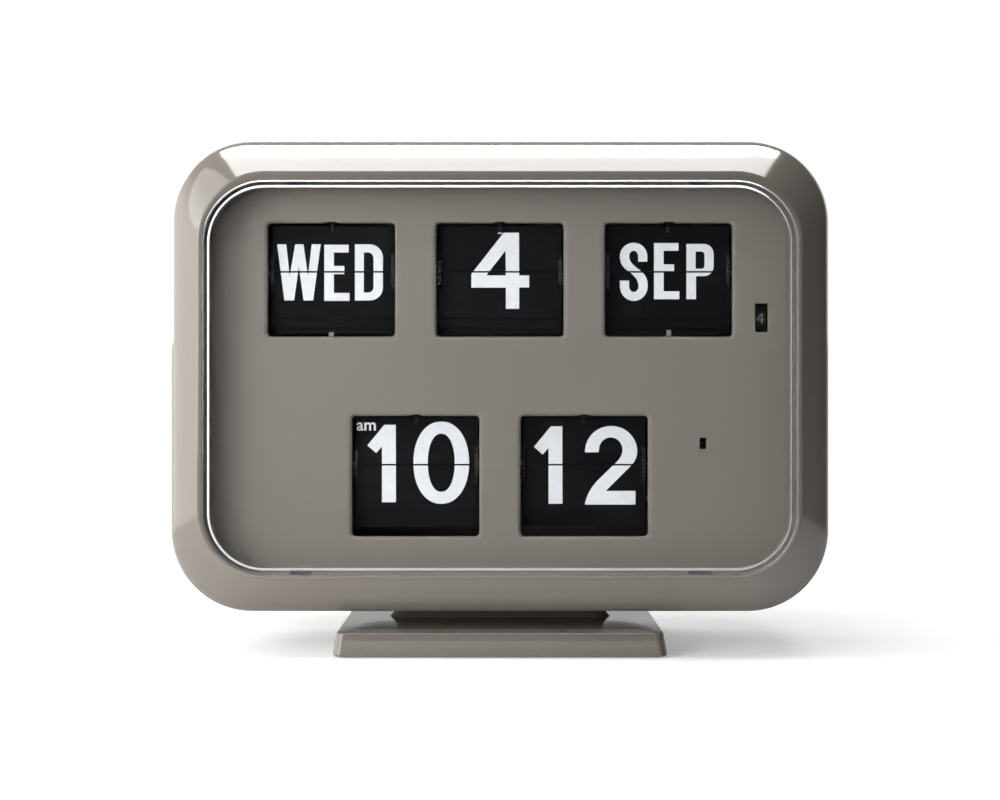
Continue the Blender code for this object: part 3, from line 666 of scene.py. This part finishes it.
def keyhole(x, z):
    """A round entry with a narrow slot above it."""
    entry = 4.5 * MM
    slot = 2.3 * MM
    rise = 7.5 * MM
    join = math.asin(slot / entry)
    entry_steps = 24
    slot_steps = 12
    points = []
    for step in range(entry_steps + 1):
        angle = math.pi / 2 + join + (2 * math.pi - 2 * join) * step / entry_steps
        points.append((x + entry * math.cos(angle), z + entry * math.sin(angle)))
    for step in range(slot_steps + 1):
        angle = math.pi * step / slot_steps
        points.append((x + slot * math.cos(angle), z + rise + slot * math.sin(angle)))
    return points


def pedestal():
    """The foot slab with softened edges and the flared neck."""
    half = FOOT_HIGH.x
    front = FOOT_LOW.y
    back = FOOT_HIGH.y
    bottom = FOOT_LOW.z
    top = 11.6 * MM
    corner = 5 * MM
    draft = 1.4
    profile = [(0.9, bottom), (0.25, bottom + 0.25 * MM), (0.0, bottom + 0.9 * MM), (draft, top - 1.0 * MM)]
    sections = [level(half - run * MM, front + run * MM, back - run * MM, corner, z) for run, z in profile]
    steps = 6
    for step in range(1, steps + 1):
        angle = math.radians(90 * step / steps)
        run = (draft + 1.0 * (1 - math.cos(angle))) * MM
        sections.append(level(half - run, front + run, back - run, corner, top - MM + MM * math.sin(angle)))
    neck_half = 52 * MM
    neck_front = FRONT + 53 * MM
    neck_back = FRONT + 88 * MM
    neck_top = FOOT_HIGH.z
    neck_corner = 8 * MM
    steps = 10
    for step in range(steps + 1):
        share = step / steps
        flare = 3.5 * MM * (1 - share) ** 2.6
        depth = flare * 0.45
        height = top + (neck_top - top) * share
        sections.append(level(neck_half + flare, neck_front - depth, neck_back + depth, neck_corner, height))
    piece = add_object("pedestal", lofted(sections), None, MATERIALS["case"], 40)
    holes = [("foot_pad_" + str(number), 7.3 * MM, 2.3 * MM) for number in range(1, 5)]
    for number in (1, 2):
        holes.append(("stand_screw_" + str(number), 4.6 * MM, 6 * MM))
        holes.append(("stand_screw_" + str(number), 2.0 * MM, 24 * MM))
    cutters = []
    for node, radius, depth in holes:
        low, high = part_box(node)
        middle = (low + high) / 2
        ring = circle(radius)
        cutters.append(lofted([[(middle.x + a, middle.y + b, z) for a, b in ring] for z in (-2 * MM, depth)]))
    boolean(piece, cutters)
    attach(piece, "case")
    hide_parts("stand_pedestal")


def door_flap():
    """The battery flap: a plate with rounded corners and grip grooves, on its hinge."""
    low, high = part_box("battery_door")
    middle = (low + high) / 2
    half_width = (high.x - low.x) / 2
    half_height = (high.z - low.z) / 2
    edge = 0.6 * MM
    bevel = 0.18 * MM
    sections = []
    for run, y in ((0.0, low.y), (0.0, high.y - edge), (bevel, high.y - bevel), (edge, high.y)):
        outline = rounded(half_width - run, half_height - run, 2.0 * MM, 8)
        sections.append([(middle.x + x, y, middle.z + z) for x, z in outline])
    piece = add_object("battery_flap", lofted(sections), None, MATERIALS["case"])
    groove = rounded(8 * MM, 0.4 * MM, 0.38 * MM, 4)
    grooves = []
    for number in range(5):
        z = high.z - (4.0 + 1.6 * number) * MM
        grooves.append(slab(moved(groove, middle.x, z), high.y - 0.5 * MM, high.y + MM))
    boolean(piece, grooves)
    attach(piece, "door")
    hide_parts("battery_door")


# ---- printed leaves

class Pen:
    """An outline in millimetres, from a glyph's left edge and baseline."""

    def __init__(self, *points):
        self.points = list(points)

    def line(self, *points):
        """Straight on to each point."""
        self.points.extend(points)
        return self

    def curve(self, first, second, end):
        """A cubic curve to the end point, with two handles."""
        start = self.points[-1]
        steps = 12
        for step in range(1, steps + 1):
            t = step / steps
            weights = ((1 - t) ** 3, 3 * t * (1 - t) ** 2, 3 * t * t * (1 - t), t ** 3)
            corners = (start, first, second, end)
            self.points.append(tuple(sum(w * c[axis] for w, c in zip(weights, corners)) for axis in (0, 1)))
        return self

    def arc(self, centre, radii, start, end, power=1.0):
        """Part of an ellipse, squarer where power is below one."""
        steps = max(4, int(abs(end - start) / 6))
        for step in range(steps + 1):
            angle = math.radians(start + (end - start) * step / steps)
            place = []
            for middle, radius, part in zip(centre, radii, (math.cos(angle), math.sin(angle))):
                place.append(middle + radius * math.copysign(abs(part) ** power, part))
            self.points.append(tuple(place))
        return self


def capital_letters():
    """Condensed capitals of my own drawing, about 27 mm tall."""
    round_top = ((6.6, 20.2), (6.6, 6.8))
    return {
        "W": [Pen((0, 26.9), (4.35, 26.9), (6.05, 11.7), (8.7, 26.9), (12.6, 26.9), (14.8, 11.7),
                  (16.6, 26.9), (20.9, 26.9), (17.25, 0), (12.7, 0), (10.4, 16.15), (8.15, 0), (3.5, 0))],
        "E": [Pen((0, 0), (12.1, 0), (12.1, 3.8), (4.6, 3.8), (4.6, 12.8), (9.6, 12.8), (9.6, 16.7),
                  (4.6, 16.7), (4.6, 23.2), (11.7, 23.2), (11.7, 26.9), (0, 26.9))],
        "D": [Pen((0, 0)).arc((7.0, 6.2), (6.4, 6.2), -90, 0)
              .arc((7.0, 20.35), (6.4, 6.55), 0, 90).line((0, 26.9)),
              Pen((4.25, 3.8)).arc((6.3, 6.4), (2.6, 2.6), -90, 0).arc((6.3, 20.0), (2.6, 3.0), 0, 90)
              .line((4.25, 23.0))],
        "P": [Pen((0, 0), (4.6, 0), (4.6, 11.05)).arc((8.5, 15.95), (4.55, 4.9), -90, 0)
              .arc((8.5, 21.45), (4.55, 5.0), 0, 90).line((0, 26.45)),
              Pen((4.4, 14.6)).arc((7.25, 16.2), (1.45, 1.6), -90, 0).arc((7.25, 21.0), (1.45, 1.85), 0, 90)
              .line((4.4, 22.85))],
        "S": [Pen((13.1, 18.0), (8.8, 18.0)).arc((6.65, 20.4), (2.15, 2.85), 0, 180)
              .curve((4.65, 17.2), (7.5, 15.55), (9.85, 13.8))
              .curve((12.15, 11.95), (13.35, 9.6), (13.35, 6.9))
              .arc((6.7, 6.25), (6.65, 7.05), 0, -180).line((0, 8.9), (4.5, 8.9))
              .arc((6.7, 6.05), (2.25, 2.6), 180, 360).curve((8.95, 9.2), (7.1, 10.9), (5.2, 12.6))
              .curve((2.9, 14.3), (0, 16.0), (0, 20.4)).arc((6.6, 20.4), (6.6, 6.65), 180, 0)],
        "T": [Pen((4.1, 0), (8.5, 0), (8.5, 23.1), (12.6, 23.1), (12.6, 26.9), (0, 26.9), (0, 23.1),
                  (4.1, 23.1))],
        "H": [Pen((0, 0), (4.4, 0), (4.4, 11.6), (8.6, 11.6), (8.6, 0), (13, 0), (13, 26.9), (8.6, 26.9),
                  (8.6, 15.4), (4.4, 15.4), (4.4, 26.9), (0, 26.9))],
        "U": [Pen((0, 26.9)).arc((6.6, 6.6), (6.6, 6.8), 180, 360).line((13.2, 26.9), (8.8, 26.9))
              .arc((6.6, 6.4), (2.2, 2.8), 0, -180).line((4.4, 26.9))],
        "O": [Pen().arc(*round_top, 0, 180).arc((6.6, 6.7), (6.6, 6.8), 180, 360),
              Pen().arc((6.6, 20.3), (2.2, 2.8), 0, 180).arc((6.6, 6.6), (2.2, 2.8), 180, 360)],
        "C": [Pen((13.1, 18.4), (8.8, 18.4)).arc((6.65, 20.3), (2.15, 2.8), 0, 180)
              .arc((6.65, 6.6), (2.15, 2.8), 180, 360).line((8.8, 9.0), (13.1, 9.0))
              .arc((6.6, 6.7), (6.6, 6.8), 0, -180).arc(*round_top, 180, 0)],
    }


def numerals():
    """Bold numerals of my own drawing, about 37 mm tall."""
    return {
        "1": [Pen((8.1, 37.1), (13.6, 37.1), (13.7, 0), (7.0, 0), (7.0, 26.7), (4.2, 23.6), (0, 27.25))],
        "4": [Pen((15.45, 36.45), (22.8, 36.45), (22.9, 16.0), (27.65, 16.0), (27.65, 10.25), (22.9, 10.25),
                  (22.9, 0), (16.5, 0), (16.5, 10.15), (0, 10.15), (0, 16.7)),
              Pen((16.35, 27.9), (16.5, 16.0), (7.1, 16.0))],
        "0": [Pen().arc((13.35, 19.6), (13.35, 19.7), 0, 354, 0.94),
              Pen().arc((13.35, 19.6), (6.45, 13.95), 0, 354, 0.92)],
        "2": [Pen().arc((12.6, 25.5), (12.5, 12.15), 180, 0)
              .curve((25.1, 22.7), (23.9, 20.35), (22.0, 18.5))
              .line((10.0, 6.55), (24.25, 6.55), (24.25, 0), (0, 0))
              .curve((0.8, 4.7), (3.35, 8.55), (5.9, 11.35))
              .line((13.6, 18.85)).curve((17.05, 21.85), (18.05, 24.0), (18.05, 26.35))
              .arc((12.4, 26.35), (5.6, 5.85), 0, 180).line((6.55, 25.05), (0.1, 25.05))],
        "3": [Pen((1.2, 26.6), (7.6, 26.6)).arc((12.6, 26.3), (5.0, 5.2), 180, -70)
              .line((10.4, 21.3), (10.4, 16.5)).arc((12.5, 11.2), (6.0, 5.2), 75, -180).line((0.2, 10.9))
              .arc((12.5, 11.2), (12.4, 11.3), -180, 42).line((18.4, 19.4))
              .arc((12.5, 26.6), (11.2, 10.8), -35, 180)],
        "5": [Pen((3.0, 37.0), (22.8, 37.0), (22.8, 30.6), (9.2, 30.6), (8.6, 24.0))
              .curve((10.2, 24.9), (11.8, 25.3), (13.4, 25.3))
              .arc((12.8, 12.5), (12.3, 12.8), 84, -172).line((7.0, 10.9))
              .arc((12.8, 12.5), (5.9, 6.7), -166, 140).line((2.0, 16.4))],
    }


# The letters of each display, as (letter, left edge, baseline) in millimetres about its centre and pivot
SHOWN = {
    "weekday": (("W", -26.5, -13.7), ("E", -3.9, -13.9), ("D", 10.8, -13.7)),
    "date": (("4", -13.7, -17.7),),
    "month": (("S", -22.9, -13.1), ("E", -6.5, -13.1), ("P", 9.0, -13.1)),
    "hour": (("1", -23.4, -18.0), ("0", -1.35, -18.65)),
    "minute": (("1", -23.9, -18.7), ("2", 0.5, -19.1)),
}
NEXT = {
    "weekday": (("T", -21.6, -13.7), ("H", -6.6, -13.7), ("U", 8.6, -13.7)),
    "date": (("5", -12.6, -18.6),),
    "month": (("O", -21.9, -13.3), ("C", -6.4, -13.3), ("T", 8.4, -13.3)),
    "hour": (("1", -19.5, -18.0), ("1", 4.5, -18.0)),
    "minute": (("1", -23.9, -18.7), ("3", 0.5, -19.1)),
}
PRINT_THICKNESS = 0.09 * MM
SPLIT_AND_SHADE_GAP = 0.4 * MM  # from the split line to the printing: the leaves' own gap, widened a little so the bare black band paints the shade in the split
STACK_SHADE_GAP = 1.6 * MM  # the same on the stack, which would show white through the split; cut back further so the split shows black, a painted shade


def outline_mesh(outlines):
    """A thin closed plate from outlines and holes given as (x, z), lying at y = 0."""
    curve = bpy.data.curves.new("print", "CURVE")
    curve.dimensions = "2D"
    curve.fill_mode = "BOTH"
    curve.extrude = PRINT_THICKNESS / 2
    for outline in outlines:
        spline = curve.splines.new("POLY")
        spline.points.add(len(outline) - 1)
        for point, (x, z) in zip(spline.points, outline):
            point.co = (x, z, 0.0, 1.0)
        spline.use_cyclic_u = True
    return curve_mesh(curve)


def curve_mesh(curve):
    """The mesh of a flat curve or text, welded and stood upright."""
    holder = linked("print", curve)
    bpy.context.view_layer.update()
    graph = bpy.context.evaluated_depsgraph_get()
    mesh = bpy.data.meshes.new_from_object(holder.evaluated_get(graph))
    bpy.data.objects.remove(holder, do_unlink=True)
    data = bmesh.new()
    data.from_mesh(mesh)
    bmesh.ops.remove_doubles(data, verts=data.verts, dist=0.001 * MM)
    bmesh.ops.transform(data, matrix=Matrix.Rotation(math.radians(90), 4, "X"), verts=data.verts)
    bmesh.ops.recalc_face_normals(data, faces=data.faces)
    data.to_mesh(mesh)
    data.free()
    return mesh


def small_text(words, left, base, height, weight):
    """The outline of a short word in Blender's own font, as a mesh at y = 0."""
    text = bpy.data.curves.new("print", "FONT")
    text.body = words
    text.size = height
    text.offset = weight
    text.extrude = PRINT_THICKNESS / 2
    mesh = curve_mesh(text)
    mesh.transform(Matrix.Translation((left, 0.0, base)))
    return mesh


def display_frame(name):
    """A display's centre x and pivot height."""
    low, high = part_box(name + "_upper_leaf")
    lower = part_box(name + "_lower_leaf")[1]
    return (low.x + high.x) / 2, (low.z + lower.z) / 2


def printing(name, layout, upper, turned, cut):
    """One half of a display's printing, from cut outwards, about the display's centre and pivot."""
    letters = {**capital_letters(), **numerals()}
    outlines = []
    for letter, left, base in layout:
        for pen in letters[letter]:
            outlines.append([((left + x) * MM, (base + z) * MM) for x, z in pen.points])
    meshes = [outline_mesh(outlines)]
    if name == "hour" and upper:
        meshes.append(small_text("am", left=-28.6 * MM, base=16.5 * MM, height=8.0 * MM, weight=0.12 * MM))
    data = bmesh.new()
    for mesh in meshes:
        data.from_mesh(mesh)
    piece = linked("print", mesh_from("print", data))
    reach = 40 * MM
    low = cut if upper else -reach
    high = reach if upper else -cut
    boolean(piece, [box_data((-reach, -MM, low), (reach, MM, high))], "INTERSECT")
    if turned:
        piece.data.transform(Matrix.Rotation(math.radians(180), 4, "X"))
    return piece


def print_leaves():
    """The value shown on each display, and the next one on the stack and on the falling leaf's back."""
    sink = 0.02 * MM
    half = PRINT_THICKNESS / 2
    for name in DISPLAYS:
        centre, pivot = display_frame(name)
        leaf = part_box(name + "_upper_leaf")
        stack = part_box(name + "_leaf_stack")
        places = (
            ("shown_top", SHOWN, True, leaf[0].y + sink - half, name + "_leaf"),
            ("shown_bottom", SHOWN, False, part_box(name + "_lower_leaf")[0].y + sink - half, "case"),
            ("next_top", NEXT, True, stack[0].y + sink - half, "case"),
            ("next_bottom", NEXT, False, leaf[1].y - sink + half, name + "_leaf"),
        )
        for kind, layout, upper, y, body in places:
            # Printing kept back from the split leaves a bare black band, painted shade along the split
            cut = STACK_SHADE_GAP if kind == "next_top" else SPLIT_AND_SHADE_GAP
            piece = printing(name, layout[name], upper, kind == "next_bottom", cut)
            piece.data.transform(Matrix.Translation((centre, y, pivot)))
            piece.name = name + "_" + kind
            piece.data.materials.clear()
            piece.data.materials.append(MATERIALS["print"])
            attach(piece, body)


# ---- CAD nodes that keep their shape

def rim_marks(name, node, turns, marks):
    """Printed marks round the rim of a wheel that turns about X, each a mesh about the rim's front point."""
    axis = Vector(JOINTS[node + "_spin"]["pos_m"])
    radius = axis.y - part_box(node)[0].y
    data = bmesh.new()
    for turn, mark in zip(turns, marks):
        spin = Matrix.Rotation(math.radians(turn), 4, "X")
        place = Matrix.Translation((0.0, axis.y, axis.z)) @ spin @ Matrix.Translation((0.0, -radius, 0.0))
        mark.transform(place)
        data.from_mesh(mark)
    add_object(name, data, JOINTS[node + "_spin"]["child"], MATERIALS["mark"])


def wheel_marks():
    """A numeral for each year round the leap-year wheel, and fine bars round the seconds wheel."""
    pens = numerals()
    digit_middle = (13.0 * MM, 18.5 * MM)
    digit_scale = 0.13
    thickening = 5.0
    years = []
    for digit in ("4", "1", "2", "3"):
        mark = outline_mesh([[(x * MM, z * MM) for x, z in pen.points] for pen in pens[digit]])
        mark.transform(Matrix.Translation((-digit_middle[0], 0.0, -digit_middle[1])))
        mark.transform(Matrix.Diagonal((digit_scale, thickening, digit_scale, 1.0)))
        mark.transform(Matrix.Translation((leap_place()[0], 0.16 * MM, 0.0)))
        years.append(mark)
    rim_marks("leap_year_numerals", "leap_year_wheel", (0, 90, 180, 270), years)

    x, height = seconds_place()
    half_length = 1.5 * MM
    half_width = 0.25 * MM
    wheel_radius = 19 * MM
    first = math.degrees(math.asin((height - JOINTS["seconds_wheel_spin"]["pos_m"][2]) / wheel_radius))
    count = 24
    turns = [step * 360 / count - first for step in range(count)]
    bar = box_data((x - half_length, -0.08 * MM, -half_width), (x + half_length, 0.3 * MM, half_width))
    mesh = mesh_from("bar", bar)
    rim_marks("seconds_bars", "seconds_wheel", turns, [mesh.copy() for turn in turns])


def dress_nodes():
    """Materials for the CAD nodes that keep their shape."""
    looks = {
        "chassis": "sheet", "axle_upper": "steel", "axle_lower": "steel", "set_wheel_shaft": "steel",
        "motor_pinion": "steel", "battery_spring": "steel", "battery_contact": "steel",
        "stand_screw_1": "steel", "stand_screw_2": "steel", "circuit_board": "board",
        "battery": "sleeve", "battery_tray": "tray", "movement_housing": "tray",
        "minute_drive_gear": "wheel", "seconds_wheel": "black", "leap_year_wheel": "black",
    }
    for number in range(1, 5):
        looks["rear_cover_screw_" + str(number)] = "steel"
        looks["foot_pad_" + str(number)] = "rubber"
    for name in DISPLAYS:
        looks[name + "_spool"] = "black"
        looks[name + "_retainer"] = "clip"
        for part in ("_upper_leaf", "_lower_leaf", "_leaf_stack"):
            looks[name + part] = "leaf"
    for name in ("weekday", "date", "month", "time"):
        looks[name + "_set_wheel"] = "black"
    for node, look in looks.items():
        mesh = frame["nodes"][node].data
        mesh.materials.clear()
        mesh.materials.append(MATERIALS[look])


# ---- stage, light, camera

def camera():
    """Square to the front, at about half the clock's height."""
    distance = 644 * MM
    height = 119.9 * MM
    data = bpy.data.cameras.new("camera")
    data.sensor_width = 36.0
    data.lens = 50.3
    item = linked("camera", data)
    item.location = (0.0, FRONT - distance, height)
    item.rotation_euler = (math.radians(90), 0.0, 0.0)
    bpy.context.scene.camera = item


def floor():
    """A pale table top that fades into the white surroundings beyond the object."""
    data = bmesh.new()
    bmesh.ops.create_grid(data, x_segments=1, y_segments=1, size=3.0)
    mesh = mesh_from("floor", data)
    made = Finish("floor_white")
    cloud = made.noise(3.0, 2.0)
    made.colour(made.mix(cloud, (0.86, 0.86, 0.86), (0.88, 0.88, 0.88)))
    made.put("Roughness", 0.7)
    made.put("Specular IOR Level", 0.2)
    made.put("Emission Color", (1.0, 1.0, 1.0, 1.0))

    # A glow that only lightens what is seen of the floor, not what it throws on the object
    path = made.node("ShaderNodeLightPath")
    glow = made.node("ShaderNodeMath", operation="MULTIPLY")
    glow.inputs[1].default_value = 0.32
    made.link(path.outputs["Is Camera Ray"], glow.inputs[0])
    made.link(glow.outputs["Value"], made.shader.inputs["Emission Strength"])

    # Two oval fades: a wide one for the light that the floor throws back, a tighter one for what is seen
    reaches = []
    for scale, start in (((1 / 0.75, 1 / 0.5, 0.0), 0.78), ((1 / 0.29, 1 / 0.36, 0.0), 0.6)):
        scaled = made.node("ShaderNodeMapping")
        scaled.inputs["Location"].default_value = (0.0, -0.1, 0.0)
        scaled.inputs["Scale"].default_value = scale
        made.link(made.place, scaled.inputs["Vector"])
        reach = made.node("ShaderNodeVectorMath", operation="LENGTH")
        made.link(scaled.outputs["Vector"], reach.inputs[0])
        reaches.append(made.remap(reach.outputs["Value"], start, 1.0, 1.0, 0.0))
    chosen = made.node("ShaderNodeMix", data_type="FLOAT")
    made.link(path.outputs["Is Camera Ray"], chosen.inputs[0])
    made.link(reaches[0], chosen.inputs[2])
    made.link(reaches[1], chosen.inputs[3])
    made.link(chosen.outputs[0], made.shader.inputs["Alpha"])
    mesh.materials.append(made.material)
    item = linked("floor", mesh)


def lamp(name, place, aim, size, radiance):
    """A rectangular area lamp of the given radiance, aimed at a point."""
    data = bpy.data.lights.new(name, "AREA")
    data.shape = "RECTANGLE"
    data.size, data.size_y = size
    data.energy = radiance * math.pi * size[0] * size[1]
    item = linked(name, data)
    item.location = place
    item.rotation_euler = (Vector(aim) - Vector(place)).to_track_quat("-Z", "Y").to_euler()
    return item


def lights():
    """Soft boxes above, in front and to the left, and a dim studio round them."""
    body = (0.0, 0.0, 0.13)
    bank = (0.72, 0.16)

    # Seen only in the gloss of the top and the foot, while the lamp between them lights the rest
    sheen_front = lamp("sheen_front", (0.0, -0.2, 0.62), (0.0, -0.2, 0.0), bank, 10.0)
    sheen_top = lamp("sheen_top", (0.0, -0.04, 0.62), (0.0, -0.04, 0.0), bank, 20.0)
    sheen_front.visible_diffuse = False
    sheen_top.visible_diffuse = False
    lamp("overhead", (0.0, -0.06, 0.63), (0.0, -0.06, 0.0), bank, 7.2)

    # Lights the dial from the front without showing in the lens
    fill = lamp("fill", (-0.6, -0.85, 0.22), body, (0.5, 0.5), 4.4)
    fill.visible_glossy = False
    fill.visible_transmission = False
    lamp("left_front", (-0.36, -0.5, 0.28), (-0.05, 0.0, 0.12), (0.1, 0.3), 6.3)
    lamp("left_near", (-0.45, -0.33, 0.2), (-0.1, 0.0, 0.12), (0.14, 0.25), 6.0)
    lamp("left_key", (-0.45, -0.26, 0.43), body, (0.3, 0.3), 2.8)
    lamp("left_rear", (-0.77, 0.54, 0.47), body, (0.6, 0.6), 3.5)
    lamp("right_rear", (0.77, 0.54, 0.47), body, (0.6, 0.6), 0.8)

    # The object sees a studio that is bright behind and to the left, the camera sees plain white
    world = bpy.data.worlds.new("studio")
    world.use_nodes = True
    bpy.context.scene.world = world
    tree = world.node_tree
    around = tree.nodes["Background"]
    place = tree.nodes.new("ShaderNodeTexCoord")
    split = tree.nodes.new("ShaderNodeSeparateXYZ")
    tree.links.new(place.outputs["Generated"], split.inputs["Vector"])
    total = tree.nodes.new("ShaderNodeMath")
    for slot, (axis, start, end, strength) in enumerate((("Y", 0.3, 0.6, 0.74), ("X", -0.75, -0.95, 2.8))):
        side = tree.nodes.new("ShaderNodeMapRange")
        for name, number in zip(("From Min", "From Max", "To Min", "To Max"), (start, end, 0.0, strength)):
            side.inputs[name].default_value = number
        tree.links.new(split.outputs[axis], side.inputs["Value"])
        tree.links.new(side.outputs["Result"], total.inputs[slot])
    tree.links.new(total.outputs["Value"], around.inputs["Strength"])
    around.inputs["Color"].default_value = (1.0, 1.0, 1.0, 1.0)
    seen = tree.nodes.new("ShaderNodeBackground")
    seen.inputs["Color"].default_value = (1.0, 1.0, 1.0, 1.0)
    seen.inputs["Strength"].default_value = 1.05
    path = tree.nodes.new("ShaderNodeLightPath")
    blend = tree.nodes.new("ShaderNodeMixShader")
    tree.links.new(path.outputs["Is Camera Ray"], blend.inputs["Fac"])
    tree.links.new(around.outputs["Background"], blend.inputs[1])
    tree.links.new(seen.outputs["Background"], blend.inputs[2])
    tree.links.new(blend.outputs["Shader"], tree.nodes["World Output"].inputs["Surface"])
    bpy.context.scene.view_settings.view_transform = "Standard"


camera()
floor()
lights()
bezel()
lens_tray()
dial_plate()
rear_shell()
pedestal()
door_flap()
print_leaves()
wheel_marks()
dress_nodes()
